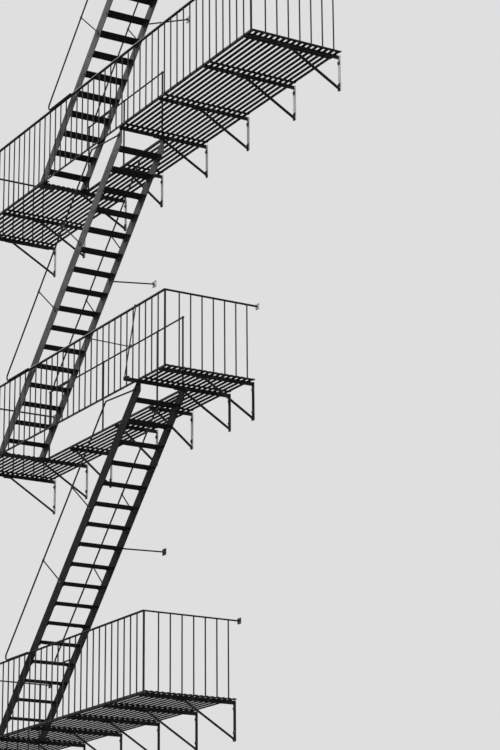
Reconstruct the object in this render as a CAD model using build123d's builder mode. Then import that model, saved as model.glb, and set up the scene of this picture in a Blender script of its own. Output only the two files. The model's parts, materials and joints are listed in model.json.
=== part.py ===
from build123d import *
import os
from math import sqrt

# A wall fire escape in iron bar: four bracketed balconies, one above the other, joined by
# three straight stairs that rise side by side with the wall. The near end of every balcony
# is its +X end. The wall's face is the plane Y = 0 and the iron stands out from it along -Y.
# The origin is on the wall leg of the lowest balcony's near-end bracket, in the middle of
# its back face. Sizes are in millimetres.

# Balcony floors
balcony_depth = 1235.0        # wall to the outer face of the edge bar
wall_gap = 48.0               # wall to the innermost slat
slat_count = 17
slat_width = 38.0
slat_thickness = 8.0
slat_setback = 18.0           # outermost slat behind the outer face of the edge bar
well_slats = 8                # slats that pass beside a stairwell
batten_width = 40.0
batten_thickness = 8.0
batten_offset = 95.0          # batten beside its bracket, towards the near end
edge_bar_height = 24.0
edge_bar_thickness = 10.0

# Wall brackets
beam_height = 45.0
beam_thickness = 12.0
header_height = 48.0          # deeper beams that carry the ends of the stairs
leg_width = 45.0
leg_thickness = 10.0
leg_drop = 468.0              # floor down to the foot of the wall leg
upper_leg_drop = 440.0        # the same on the two upper balconies
strut_width = 40.0
strut_thickness = 10.0
strut_reach = 650.0           # wall to the top bend of the strut
strip_strut_reach = 500.0     # the same where the bracket carries only the strip
strut_land = 105.0            # flat length of a strut against the beam
strip_strut_land = 60.0
strut_foot = 26.0             # flat length of a strut against the foot of the leg
strut_bend = 22.0
header_strut_shift = 15.0     # strut of a header clear of the stair's inner stringer
wall_bolt = 14.0
upper_bolt_drop = 100.0       # floor down to the upper wall bolt
lower_bolt_drop = 370.0
outrigger_reach = 190.0       # header of the middle balcony past its edge bar
outrigger_clearance = 1.0     # each side of it where it passes through the edge bar

# Railings
rail_height = 890.0           # floor to the top of the railing
rail_width = 40.0
rail_thickness = 10.0
baluster = 12.0
baluster_pitch = 150.0
foot_bar_width = 44.0
foot_bar_thickness = 8.0
foot_bar_overlap = 30.0       # foot bar of an end railing under the slat ends
wall_plate = 70.0
wall_plate_thickness = 8.0
guard_rod = 20.0
guard_post = 16.0
guard_drop = 25.0             # middle of the stairwell's guard rail under the railing's top

# Stairs
riser_bottom = 202.0
riser_upper = 197.0
risers_bottom = 18
risers_upper = 17
stringer_depth = 152.0
stringer_thickness = 10.0
stringer_rise = 20.0          # stringer edge above the line of the tread noses
stringer_side_gap = 5.0       # inner stringer to the bar along the stairwell
stair_outer_gap = 40.0        # outer stringer to the outer face of the edge bar
foot_plate_width = 90.0
foot_plate_thickness = 8.0
tread_bar_width = 80.0
tread_bar_gap = 20.0
tread_thickness = 8.0
tread_end_gap = 1.0
middle_tread_slide = 45.0      # treads lower down the slope than even steps put them
upper_tread_slide = 70.0
cleat_length = 130.0
cleat_setback = 20.0
cleat_leg = 40.0
cleat_thickness = 5.0

# Handrails, stays and braces of round rod
handrail_rod = 20.0
handrail_lift = 560.0         # handrail straight above the line of the tread noses
handrail_return = 680.0
handrail_end_drop = 100.0     # upper return under the floor that the stair reaches
handrail_end_setback = 60.0
handrail_bend = 45.0
handrail_end_bend = 24.0
handrail_seat = 60.0          # length of the upper return against the stringer
stanchion_rod = 16.0
stanchion_foot = 110.0
stanchion_bend = 30.0
stanchion_shares = (0.4, 0.68)   # places of the stanchions along the handrail's slope
stay_rod = 18.0
stay_plate = 80.0
stay_plate_thickness = 10.0
brace_rod = 14.0
brace_land = 60.0
brace_bend = 22.0
brace_tip_inset = 15.0
seat_clearance = 0.3          # between round rods and what they lie against

# Levels of the four floors above the origin
leg_middle = (leg_drop + slat_thickness) / 2
lower_rise = risers_bottom * riser_bottom
upper_rise = risers_upper * riser_upper
floor_bottom = leg_middle
floor_middle = floor_bottom + lower_rise
floor_top = floor_middle + upper_rise
floor_upper = floor_top + upper_rise

# Places along the wall
near_overhang = 108.0         # slats past the middle of the bracket at the near end
far_overhang = 108.0
short_far_overhang = 40.0     # the same at the far end of the two lower balconies
lower_header_clear = 45.0     # last nose line short of the middle balcony's header
middle_header_pass = 30.0     # last nose line past the top balcony's header
bottom_near, bottom_far = near_overhang, -4702.0
middle_near, middle_far = 570.0, -4702.0
top_near, top_far = 2514.0, -4882.0
upper_near, upper_far = 1159.0, -2582.0
middle_header, middle_far_header = -82.0, -3720.0
top_header, top_far_header = -600.0, -2707.0
upper_header, upper_far_header = 502.0, -1724.0
bottom_brackets = (-866.0, -1770.0, -2720.0, -3700.0)
top_brackets = (1450.0, 400.0)
middle_strip_brackets = (-964.0, -1840.0, -3052.0)
top_strip_brackets = (-1732.0,)
upper_strip_brackets = (-420.0, -1150.0)
top_far_bracket = -3892.0
middle_guard_posts = (-142.0, -762.0, -2154.0, -3642.0)
top_guard_posts = (-660.0, -1662.0, -2632.0)
upper_guard_posts = (442.0, -642.0, -1664.0)

# Worked out from the sizes above
outer_face = -balcony_depth
bar_inner_face = outer_face + edge_bar_thickness
slat_inner_middle = -(wall_gap + slat_width / 2)
slat_outer_middle = outer_face + slat_setback + slat_width / 2
slat_pitch = (slat_inner_middle - slat_outer_middle) / (slat_count - 1)
well_bar_middle = slat_inner_middle - (well_slats - 0.5) * slat_pitch
well_bar_outer = well_bar_middle - edge_bar_thickness / 2
inner_stringer_face = well_bar_outer - stringer_side_gap
outer_stringer_face = outer_face + stair_outer_gap
baluster_middle = outer_face - baluster / 2
rail_outer_edge = baluster_middle - rail_width / 2
outer_rod_middle = rail_outer_edge - handrail_rod / 2 - seat_clearance
inner_rod_middle = inner_stringer_face + handrail_rod / 2 + seat_clearance
guard_level = rail_height - guard_drop
inner_return_level = guard_level + guard_rod / 2 + handrail_rod / 2 + seat_clearance
outer_return_level = rail_height - rail_thickness / 2

LOW = Align.MIN
MIDDLE = Align.CENTER
HIGH = Align.MAX


def make_floor(label, level, near, far, header=None, far_header=None):
    """Flat slats along the wall; the outer ones stop at both sides of a stairwell."""
    rows = [slat_inner_middle - index * slat_pitch for index in range(slat_count)]
    runs = [(far, near, rows)]
    if header is not None:
        runs = [(far, near, rows[:well_slats]), (far, far_header, rows[well_slats:]),
                (header, near, rows[well_slats:])]
    with BuildPart() as floor:
        for start, end, places in runs:
            with Locations([(start, y, level) for y in places]):
                Box(end - start, slat_width, slat_thickness, align=(LOW, MIDDLE, HIGH))
    floor.part.label = label
    return floor.part


def make_battens(label, level, places, strip_places=()):
    """Flat cross bars, riveted under the slats beside each bracket."""
    under = level - slat_thickness
    strip_face = well_bar_middle + edge_bar_thickness / 2
    with BuildPart() as battens:
        for face, rows in ((bar_inner_face, places), (strip_face, strip_places)):
            if rows:
                with Locations([(x + batten_offset, face, under) for x in rows]):
                    Box(batten_width, -face - wall_gap, batten_thickness,
                        align=(MIDDLE, LOW, HIGH))
    battens.part.label = label
    return battens.part


def make_bracket(drop, beam_end, height, reach, land, shift=0.0):
    """One wall bracket at x = 0, z = 0 under the slats: beam, wall leg and bent strut."""
    foot = slat_thickness - drop
    strut_y = -leg_thickness - strut_thickness / 2
    strut_z = -height - strut_thickness / 2
    with BuildPart() as bracket:
        with Locations((0, -leg_thickness, 0)):
            Box(beam_thickness, beam_end - leg_thickness, height, align=(MIDDLE, HIGH, HIGH))
        with Locations((0, 0, 0)):
            Box(leg_width, leg_thickness, -foot, align=(MIDDLE, HIGH, HIGH))
        with BuildLine(Plane.YZ.offset(shift)) as path:
            FilletPolyline(
                (-reach - land, strut_z),
                (-reach, strut_z),
                (strut_y, foot + strut_foot),
                (strut_y, foot),
                radius=strut_bend,
            )
        with BuildSketch(Plane(origin=path.line @ 0, x_dir=(1, 0, 0), z_dir=path.line % 0)):
            Rectangle(strut_width, strut_thickness)
        sweep()
        for bolt_drop in (upper_bolt_drop, lower_bolt_drop):
            with Locations(Plane(origin=(0, 0, slat_thickness - bolt_drop), z_dir=(0, 1, 0))):
                Hole(wall_bolt / 2, leg_thickness)
    return bracket.part


def make_brackets(label, level, drop, places, headers=(), strip_places=(), outrigger=0.0):
    """All brackets of one balcony, each one forged piece."""
    plain = make_bracket(drop, -bar_inner_face, beam_height, strut_reach, strut_land)
    near_header = make_bracket(drop, -bar_inner_face + outrigger, header_height, strut_reach,
                               strut_land, header_strut_shift)
    far_header = make_bracket(drop, -bar_inner_face, header_height, strut_reach, strut_land)
    strip_end = -(well_bar_middle + edge_bar_thickness / 2)
    short = make_bracket(drop, strip_end, beam_height, strip_strut_reach, strip_strut_land)
    rows = ((plain, places), (near_header, headers[:1]), (far_header, headers[1:]),
            (short, strip_places))
    with BuildPart() as brackets:
        for piece, row in rows:
            if row:
                with Locations([(x, 0, level - slat_thickness) for x in row]):
                    add(piece)
    brackets.part.label = label
    return brackets.part


def spaced(start, end, pitch):
    """Even places from start to end, as near to the pitch as they fit."""
    count = max(1, round(abs(end - start) / pitch))
    return [start + (end - start) * index / count for index in range(count + 1)]


def make_outer_railing(label, level, near, far, outrigger_x=None):
    """Top rail, balusters and edge bar along the outer side, riveted into one panel."""
    ends = (far - baluster / 2, near + baluster / 2)
    with BuildPart() as railing:
        with Locations((far, outer_face, level - slat_thickness)):
            Box(near - far, edge_bar_thickness, edge_bar_height, align=(LOW, LOW, HIGH))
        if outrigger_x is not None:
            with Locations((outrigger_x, outer_face, level - slat_thickness)):
                Box(beam_thickness + 2 * outrigger_clearance, edge_bar_thickness,
                    edge_bar_height, align=(MIDDLE, LOW, HIGH), mode=Mode.SUBTRACT)
        reach = baluster / 2 + rail_width / 2
        with Locations((far - reach, baluster_middle, level + rail_height)):
            Box(near - far + 2 * reach, rail_width, rail_thickness, align=(LOW, MIDDLE, HIGH))
        foot = level - slat_thickness - edge_bar_height
        tall = rail_height - rail_thickness + slat_thickness + edge_bar_height
        inner = spaced(ends[0], ends[1], baluster_pitch)[1:-1]
        with Locations([(x, baluster_middle, foot) for x in inner]):
            Box(baluster, baluster, tall, align=(MIDDLE, MIDDLE, LOW))
        with Locations([(x, baluster_middle + edge_bar_thickness / 2, foot) for x in ends]):
            Box(baluster, baluster + edge_bar_thickness, tall, align=(MIDDLE, MIDDLE, LOW))
    railing.part.label = label
    return railing.part


def make_end_railing(label, level, end, outward):
    """Railing across one end, from the outer railing to a plate on the wall."""
    middle = end + outward * baluster / 2
    start = baluster_middle + rail_width / 2
    foot_top = level - slat_thickness
    foot_middle = end + outward * (foot_bar_width / 2 - foot_bar_overlap)
    with BuildPart() as railing:
        with Locations((middle, start, level + rail_height)):
            Box(rail_width, -start - wall_plate_thickness, rail_thickness,
                align=(MIDDLE, LOW, HIGH))
        with Locations((middle, 0, level + rail_height - rail_thickness / 2)):
            Box(wall_plate, wall_plate_thickness, wall_plate, align=(MIDDLE, HIGH, MIDDLE))
        with Locations((foot_middle, bar_inner_face, foot_top)):
            Box(foot_bar_width, -bar_inner_face - wall_gap, foot_bar_thickness,
                align=(MIDDLE, LOW, HIGH))
        tall = rail_height - rail_thickness + slat_thickness + foot_bar_thickness
        places = [-baluster_pitch * count
                  for count in range(1, round(-baluster_middle / baluster_pitch))]
        with Locations([(middle, y, foot_top - foot_bar_thickness) for y in places]):
            Box(baluster, baluster, tall, align=(MIDDLE, MIDDLE, LOW))
    railing.part.label = label
    return railing.part


def make_well_guard(label, level, header, far_header, posts):
    """Bar along the stairwell's inner side, with posts and one round rail above it."""
    with BuildPart() as guard:
        with Locations((far_header, well_bar_middle, level - slat_thickness)):
            Box(header - far_header, edge_bar_thickness, edge_bar_height,
                align=(LOW, MIDDLE, HIGH))
        with Locations([(x, well_bar_middle, level - slat_thickness) for x in posts]):
            Box(guard_post, guard_post, guard_level + slat_thickness,
                align=(MIDDLE, MIDDLE, LOW))
        rail_start = posts[0] + guard_post
        rail_run = rail_start - (posts[-1] - guard_post)
        with BuildSketch(Plane((rail_start, well_bar_middle, level + guard_level),
                               x_dir=(0, 1, 0), z_dir=(-1, 0, 0))):
            Circle(guard_rod / 2)
        extrude(amount=rail_run)
    guard.part.label = label
    return guard.part


def make_stringers(label, low, rise, arrival, cut):
    """Two flat bars on edge at 45 degrees, cut level at the foot and upright at the header."""
    top = low + rise
    up = stringer_rise * sqrt(2)
    down = (stringer_depth - stringer_rise) * sqrt(2)
    foot = low + foot_plate_thickness
    foot_nose = arrival - rise + foot_plate_thickness
    back = foot_nose + down
    edge_end = arrival - up
    points = [(foot_nose - up, foot), (back, foot), (cut, foot + cut - back)]
    if edge_end < cut:
        points += [(cut, top), (edge_end, top)]
    else:
        points.append((cut, top + cut - edge_end))
    with BuildPart() as stringers:
        for face in (outer_stringer_face + stringer_thickness, inner_stringer_face):
            with BuildSketch(Plane.XZ.offset(-face)):
                with BuildLine():
                    Polyline(*points, close=True)
                make_face()
            extrude(amount=stringer_thickness)
            middle = face - stringer_thickness / 2
            with Locations((foot_nose - up, middle, low)):
                Box(back - foot_nose + up, foot_plate_width, foot_plate_thickness,
                    align=(LOW, MIDDLE, LOW))
    stringers.part.label = label
    return stringers.part


def make_treads(label, low, riser, count, arrival, slide):
    """Treads of two flat bars on an angle cleat at each end."""
    left = outer_stringer_face + stringer_thickness
    right = inner_stringer_face - stringer_thickness
    span = right - left
    with BuildPart() as tread:
        for start in (0, tread_bar_width + tread_bar_gap):
            with Locations((start, left + tread_end_gap, 0)):
                Box(tread_bar_width, span - 2 * tread_end_gap, tread_thickness,
                    align=(LOW, LOW, HIGH))
        for edge, side in ((left, LOW), (right, HIGH)):
            with Locations((cleat_setback, edge, -tread_thickness)):
                Box(cleat_length, cleat_leg, cleat_thickness, align=(LOW, side, HIGH))
                Box(cleat_length, cleat_thickness, cleat_leg, align=(LOW, side, HIGH))
    places = [(arrival - slide - (count - step) * riser, 0, low - slide + step * riser)
              for step in range(1, count)]
    with BuildPart() as treads:
        with Locations(places):
            add(tread.part)
    treads.part.label = label
    return treads.part


def rod_along(points, radii, rod):
    """A round rod along straight runs joined by bends."""
    with BuildPart() as piece:
        with BuildLine() as path:
            FilletPolyline(*points, radius=radii)
        with BuildSketch(Plane(origin=path.line @ 0, z_dir=path.line % 0)):
            Circle(rod / 2)
        sweep()
    return piece.part


def make_handrails(label, low, rise, arrival):
    """A bent rod beside each stringer, held off it by two stanchions."""
    top = low + rise
    end_level = top - handrail_end_drop
    end_x = arrival - handrail_end_setback
    bend_x = arrival - handrail_lift - handrail_end_drop
    touching = outer_stringer_face - handrail_rod / 2 - seat_clearance
    with BuildPart() as rails:
        for y, level in ((outer_rod_middle, outer_return_level),
                         (inner_rod_middle, inner_return_level)):
            low_x = arrival - rise + level - handrail_lift
            points = [
                (low_x + handrail_return, y, low + level),
                (low_x, y, low + level),
                (bend_x, y, end_level),
            ]
            radii = [handrail_bend, handrail_bend]
            if y == outer_rod_middle:
                points += [
                    (end_x - handrail_seat, touching, end_level),
                    (end_x, touching, end_level),
                ]
                radii += [handrail_end_bend]
            else:
                points += [(end_x, y, end_level)]
            add(rod_along(points, radii, handrail_rod))
            for share in stanchion_shares:
                x = low_x + share * (bend_x - low_x)
                z = low + level + share * (end_level - low - level)
                add(make_stanchion(x, y, z))
    rails.part.label = label
    return rails.part


def make_stanchion(x, y, z):
    """Rod square to the slope, from the handrail down to a foot flat on the stringer."""
    outer = y < outer_stringer_face
    face = outer_stringer_face if outer else inner_stringer_face
    away = -1 if outer else 1
    foot_y = face + away * (stanchion_rod / 2 + seat_clearance)
    drop = (handrail_lift - stringer_rise * sqrt(2)) / 2
    tail = stanchion_foot / sqrt(2)
    points = [
        (x, y, z),
        (x + drop, foot_y, z - drop),
        (x + drop + tail, foot_y, z - drop - tail),
    ]
    if abs(foot_y - y) < stanchion_rod / 2:
        points = [(x, foot_y, z), points[-1]]
        with BuildPart() as piece:
            with BuildLine() as path:
                Line(*points)
            with BuildSketch(Plane(origin=path.line @ 0, z_dir=path.line % 0)):
                Circle(stanchion_rod / 2)
            sweep()
        return piece.part
    return rod_along(points, [stanchion_bend], stanchion_rod)


def stringer_middle(x, low, rise, arrival):
    """Height of the middle of a stringer's depth at a place along the wall."""
    return low + rise - (arrival - x) - (stringer_depth / 2 - stringer_rise) * sqrt(2)


def make_wall_stay(label, low, rise, arrival, stair_x, wall_x, wall_lift):
    """Rod from the middle of the inner stringer's depth to a plate on the wall."""
    stair_z = stringer_middle(stair_x, low, rise, arrival)
    wall_z = stair_z + wall_lift
    wall = Vector(wall_x, -stay_plate_thickness, wall_z)
    eye = stay_rod * 2
    with BuildPart() as stay:
        with Locations((wall_x, 0, wall_z)):
            Box(stay_plate, stay_plate_thickness, stay_plate, align=(MIDDLE, HIGH, MIDDLE))
        with Locations((stair_x, inner_stringer_face, stair_z)):
            Box(eye, stay_plate_thickness, eye, align=(MIDDLE, LOW, MIDDLE))
        run = Vector(stair_x, inner_stringer_face + stay_plate_thickness / 2, stair_z)
        with BuildSketch(Plane(origin=run, z_dir=wall - run)):
            Circle(stay_rod / 2)
        extrude(amount=(wall - run).length + stay_plate_thickness / 4)
    stay.part.label = label
    return stay.part


def make_outrigger_brace(label, level, beam_x):
    """Rod from the tip of the header that stands out to the outer side of the top rail."""
    tip = bar_inner_face - outrigger_reach + brace_tip_inset
    low_z = level - slat_thickness + brace_rod / 2 + seat_clearance
    high_y = rail_outer_edge - brace_rod / 2 - seat_clearance
    high_z = level + rail_height
    points = [
        (beam_x, tip + brace_land, low_z),
        (beam_x, tip, low_z),
        (beam_x, high_y, high_z - brace_land),
        (beam_x, high_y, high_z),
    ]
    brace = rod_along(points, [brace_bend / 2, brace_bend], brace_rod)
    brace.label = label
    return brace


def make_tie_rod(label, level, rise, arrival, low_x, high_x):
    """Rod from the stairwell's guard rail up to the inner stringer of the next stair."""
    high_z = stringer_middle(high_x, level, rise, arrival)
    y = inner_stringer_face + brace_rod / 2 + seat_clearance
    low_z = level + guard_level + guard_rod / 2 + brace_rod / 2 + seat_clearance
    points = [
        (low_x + brace_land, y, low_z),
        (low_x, y, low_z),
        (high_x, y, high_z),
    ]
    tie = rod_along(points, [brace_bend], brace_rod)
    tie.label = label
    return tie


def save(part):
    """Write one node to its own file, named after its label."""
    export_step(part, f"parts/{part.label}.step")


def save_balcony(name, level, drop, near, far, overhang, places, strip_places=(), headers=(),
                 posts=(), outrigger=0.0):
    """Floor, battens, brackets, railings and, beside a stairwell, its guard."""
    ends = (near - near_overhang, far + overhang)
    half = beam_thickness / 2
    beams = (headers[0] + half, headers[1] - half) if headers else ()
    carried = [x for x in (*ends, *places, *beams) if x != ends[0]]
    save(make_floor(f"{name}_floor_slats", level, near, far, *headers))
    save(make_battens(f"{name}_floor_battens", level,
                      [ends[0] - 2 * batten_offset, *[x for x in carried if x not in beams[1:]],
                       *[x - 2 * batten_offset for x in beams[1:]]],
                      strip_places))
    save(make_brackets(f"{name}_wall_brackets", level, drop, [*ends, *places], beams,
                       strip_places, outrigger))
    save(make_outer_railing(f"{name}_outer_railing", level, near, far,
                            beams[0] if outrigger else None))
    save(make_end_railing(f"{name}_near_end_railing", level, near, 1))
    save(make_end_railing(f"{name}_far_end_railing", level, far, -1))
    if headers:
        save(make_well_guard(f"{name}_stairwell_guard", level, *headers, posts))


def save_stair(name, low, riser, count, arrival, cut, tread_slide=0.0):
    """Stringers, treads and handrails of one straight flight."""
    rise = riser * count
    save(make_stringers(f"{name}_stair_stringers", low, rise, arrival, cut))
    save(make_treads(f"{name}_stair_treads", low, riser, count, arrival, tread_slide))
    save(make_handrails(f"{name}_stair_handrails", low, rise, arrival))


os.makedirs("parts", exist_ok=True)

save_balcony("bottom", floor_bottom, leg_drop, bottom_near, bottom_far, short_far_overhang,
             bottom_brackets)
save_balcony("middle", floor_middle, leg_drop, middle_near, middle_far, short_far_overhang, (),
             strip_places=middle_strip_brackets,
             headers=(middle_header, middle_far_header), posts=middle_guard_posts,
             outrigger=outrigger_reach)
save_balcony("top", floor_top, upper_leg_drop, top_near, top_far, far_overhang,
             (*top_brackets, top_far_bracket),
             strip_places=top_strip_brackets,
             headers=(top_header, top_far_header), posts=top_guard_posts)
save_balcony("upper", floor_upper, upper_leg_drop, upper_near, upper_far, far_overhang, (),
             strip_places=upper_strip_brackets,
             headers=(upper_header, upper_far_header), posts=upper_guard_posts)

lower_arrival = middle_header - lower_header_clear
middle_arrival = top_header + middle_header_pass
save_stair("lower", floor_bottom, riser_bottom, risers_bottom, lower_arrival, middle_header)
save_stair("middle", floor_middle, riser_upper, risers_upper, middle_arrival, top_header,
           middle_tread_slide)
save_stair("upper", floor_top, riser_upper, risers_upper, upper_header, upper_header,
           upper_tread_slide)

save(make_wall_stay("lower_wall_stay", floor_bottom, lower_rise, lower_arrival,
                    -1661.0, -1646.0, 20.0))
save(make_wall_stay("middle_wall_stay", floor_middle, upper_rise, middle_arrival,
                    -1965.0, -1921.0, 54.0))
save(make_wall_stay("upper_wall_stay", floor_top, upper_rise, upper_header,
                    -1077.0, -1050.0, 200.0))
save(make_tie_rod("guard_tie_rod", floor_middle, upper_rise, middle_arrival,
                  -1482.0, -2550.0))
save(make_outrigger_brace("outrigger_brace", floor_middle,
                          middle_header + beam_thickness / 2))
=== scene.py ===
import json
import math

import bmesh
import bpy
from mathutils import Matrix, Vector


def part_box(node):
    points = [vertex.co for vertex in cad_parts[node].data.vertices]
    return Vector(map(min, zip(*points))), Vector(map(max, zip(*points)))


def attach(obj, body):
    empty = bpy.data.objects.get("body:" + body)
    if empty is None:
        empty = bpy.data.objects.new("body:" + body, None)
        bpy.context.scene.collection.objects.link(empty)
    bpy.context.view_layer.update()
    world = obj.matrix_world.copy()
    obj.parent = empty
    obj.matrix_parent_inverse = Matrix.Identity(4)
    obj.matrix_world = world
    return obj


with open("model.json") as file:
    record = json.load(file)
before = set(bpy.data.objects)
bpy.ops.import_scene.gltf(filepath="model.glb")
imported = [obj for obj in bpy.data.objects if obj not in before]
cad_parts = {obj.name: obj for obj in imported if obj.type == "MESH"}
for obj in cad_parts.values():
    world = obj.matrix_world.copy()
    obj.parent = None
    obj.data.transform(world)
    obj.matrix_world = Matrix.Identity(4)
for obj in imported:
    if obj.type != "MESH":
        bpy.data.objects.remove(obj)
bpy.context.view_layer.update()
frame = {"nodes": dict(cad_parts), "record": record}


ironwork = frame["nodes"]

# The camera stands in the street, below the balconies and past their near ends
camera_data = bpy.data.cameras.new("camera")
camera = bpy.data.objects.new("camera", camera_data)
bpy.context.scene.collection.objects.link(camera)
camera_data.sensor_fit = "VERTICAL"
camera_data.sensor_height = 36.0
camera_data.lens = 114.03
camera_data.clip_end = 200.0
camera.location = (22.956, -13.623, -4.224)
camera.rotation_euler = [math.radians(angle) for angle in (107.279, 0.450, 59.024)]
bpy.context.scene.camera = camera

# Sizes of the ironwork in millimetres, the same as in the part's source
SLAT_COUNT = 17
SLAT_WIDTH = 38.0
SLAT_THICKNESS = 8.0
WELL_SLATS = 8
BATTEN_THICKNESS = 8.0
BATTEN_OFFSET = 95.0
EDGE_BAR_HEIGHT = 24.0
BEAM_HEIGHT = 45.0
HEADER_HEIGHT = 48.0
LEG_THICKNESS = 10.0
STRUT_THICKNESS = 10.0
STRUT_REACH = 650.0
STRIP_STRUT_REACH = 500.0
STRUT_FOOT = 26.0
HEADER_STRUT_SHIFT = 15.0
LEG_DROP = {"bottom": 468.0, "middle": 468.0, "top": 440.0, "upper": 440.0}
UPPER_BOLT_DROP = 100.0
LOWER_BOLT_DROP = 370.0
RAIL_HEIGHT = 890.0
RAIL_WIDTH = 40.0
RAIL_THICKNESS = 10.0
BALUSTER = 12.0
BALUSTER_PITCH = 150.0
WALL_PLATE_THICKNESS = 8.0
GUARD_ROD = 20.0
STRINGER_DEPTH = 152.0
STRINGER_RISE = 20.0
STRINGER_THICKNESS = 10.0
FOOT_PLATE_WIDTH = 90.0
FOOT_PLATE_THICKNESS = 8.0
TREAD_DEPTH = 180.0
TREAD_THICKNESS = 8.0
TREAD_END_GAP = 1.0
CLEAT_THICKNESS = 5.0
CLEAT_MIDDLE = 85.0
HANDRAIL_ROD = 20.0
HANDRAIL_LIFT = 560.0
HANDRAIL_END_DROP = 100.0
HANDRAIL_END_SETBACK = 60.0
HANDRAIL_SEAT = 60.0
STANCHION_ROD = 16.0
STANCHION_SHARES = (0.4, 0.68)
STAY_ROD = 18.0
STAY_PLATE_THICKNESS = 10.0
BRACE_ROD = 14.0
BRACE_LAND = 60.0
BRACE_TIP_INSET = 15.0
SEAT_CLEARANCE = 0.3

# Sizes and places of what only the scene has, in millimetres
MIDDLE_BAR_WIDTH = 14.0
EAR_RADIUS = 38.0
EAR_THICKNESS = 5.0
EAR_WIDTH = 126.0
EAR_SINK = 0.5
WASHER_THICKNESS = 4.0
CLIP_THICKNESS = 4.0
CLIP_FOOT = 22.0
END_BAR_RIVETS = 14.0         # in from the slats' ends
RAIL_PLATE_BOLTS = 22.0, 23.0  # across and up from the middle of a rail's wall plate
STAY_PLATE_BOLTS = 27.0       # the same both ways on a stay's wall plate
STRUT_RIVETS = 30.0, 80.0     # past the strut's reach
STRIP_STRUT_RIVETS = 18.0, 44.0
GUARD_RAIL_END = 16.0         # guard rail past its end posts
TREAD_BOLTS = 50.0, 120.0     # behind a tread's nose
TREAD_BOLT_DROP = 30.0
TREAD_RIVETS = 40.0, 140.0
TREAD_RIVET_INSET = 38.0      # in from the stringer
FOOT_BOLTS = 45.0, 165.0      # along a foot plate
FOOT_BOLT_OUTSIDE = 22.0      # each side of the stringer
FOOT_BOLT_INSIDE = 32.0
STANCHION_CLIPS = 34.0, 88.0  # down a stanchion's foot
BOSS_OUT = 8.0                # middle of a boss from the stay's plate
TIE_BANDS = 20.0, 48.0        # along the guard rail from the tie rod's foot
TIE_BAND_SINK = 3.0
TIE_CLIPS = 16.0, 50.0        # down the rod from its head
BRACE_BANDS = 12.0, 38.0      # out from where the brace's foot ends
BRACE_BOLT_DROP = 10.0

# Places of the brackets along the wall: whole ones, the headers of a stairwell, short ones
WHOLE_BRACKETS = {
    "bottom": (0.0, -866.0, -1770.0, -2720.0, -3700.0, -4662.0),
    "middle": (462.0, -4662.0),
    "top": (2406.0, 1450.0, 400.0, -3892.0, -4774.0),
    "upper": (1051.0, -2474.0),
}
HEADER_BRACKETS = {
    "bottom": (),
    "middle": (-76.0, -3726.0),
    "top": (-594.0, -2713.0),
    "upper": (508.0, -1730.0),
}
SHORT_BRACKETS = {
    "bottom": (),
    "middle": (-964.0, -1840.0, -3052.0),
    "top": (-1732.0,),
    "upper": (-420.0, -1150.0),
}
GUARD_POSTS = {
    "middle": (-142.0, -762.0, -2154.0, -3642.0),
    "top": (-660.0, -1662.0, -2632.0),
    "upper": (442.0, -642.0, -1664.0),
}
# Foot floor, riser and number of risers of each stair
STAIRS = {"lower": ("bottom", 202.0, 18), "middle": ("middle", 197.0, 17),
          "upper": ("top", 197.0, 17)}
# Place along the stair, place on the wall and lift of each wall stay
WALL_STAYS = {"lower": (-1661.0, -1646.0, 20.0), "middle": (-1965.0, -1921.0, 54.0),
              "upper": (-1077.0, -1050.0, 200.0)}
TIE_LOW_X, TIE_HIGH_X = -1482.0, -2550.0

UP = Vector((0, 0, 1))
DOWN = Vector((0, 0, -1))
STREET = Vector((0, -1, 0))
WALL = Vector((0, 1, 0))
NEAR = Vector((1, 0, 0))
FAR = Vector((-1, 0, 0))


def node_box(name):
    """Lowest and highest corners of a node, in millimetres."""
    low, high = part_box(name)
    return Vector(low) * 1000, Vector(high) * 1000


# Materials, and the tones that the marks on them have
MIX_A, MIX_B, MIX_RESULT = 6, 7, 2
RAIN_GREY = "#5c5b5a"
RUST_DARK, RUST_LIGHT = "#35302d", "#554c47"
BARE_METAL = "#6f6d6a"
STREET_DUST = "#6c6a67"
# Soot, and painted shade on undersides
SOOT_AND_SHADE = "#0c0c0c"
# Pale lime wash, which on the wall legs and rail plates also stands in for sky light
LIME_AND_SKY_LIGHT = "#d6d5d2"
# A painted highlight on the street face of the rails
RAIL_HIGHLIGHT = "#858482"
LOWER_STAIR_DARK = "#0d0d0e"
DULLEST = 0.92


def linear(hex_colour):
    """A colour written as sRGB hex, turned to linear."""
    channels = [int(hex_colour[i:i + 2], 16) / 255 for i in (1, 3, 5)]
    return (*[c / 12.92 if c <= 0.04045 else ((c + 0.055) / 1.055) ** 2.4 for c in channels], 1.0)


def add(tree, kind, inputs=None, **settings):
    """One node with its settings; each input is a value or another node's output."""
    node = tree.nodes.new(kind)
    for setting, value in settings.items():
        setattr(node, setting, value)
    for socket, value in (inputs or {}).items():
        if isinstance(value, bpy.types.NodeSocket):
            tree.links.new(value, node.inputs[socket])
        else:
            node.inputs[socket].default_value = value
    return node


def stain(tree, place, size, start, full, drawn_out=(1.0, 1.0, 1.0), seed=0.0,
          least=0.0, most=1.0):
    """How strongly marks of that size in millimetres show, from least to most."""
    moved = add(tree, "ShaderNodeMapping",
                {"Vector": place, "Location": (seed, seed * 0.7, seed * 1.3), "Scale": drawn_out})
    cloud = add(tree, "ShaderNodeTexNoise",
                {"Vector": moved.outputs["Vector"], "Scale": 1000.0 / size, "Detail": 5.0,
                 "Roughness": 0.66})
    shown = add(tree, "ShaderNodeMapRange",
                {"Value": cloud.outputs["Fac"], "From Min": start, "From Max": full,
                 "To Min": least, "To Max": most})
    return shown.outputs["Result"]


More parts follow.
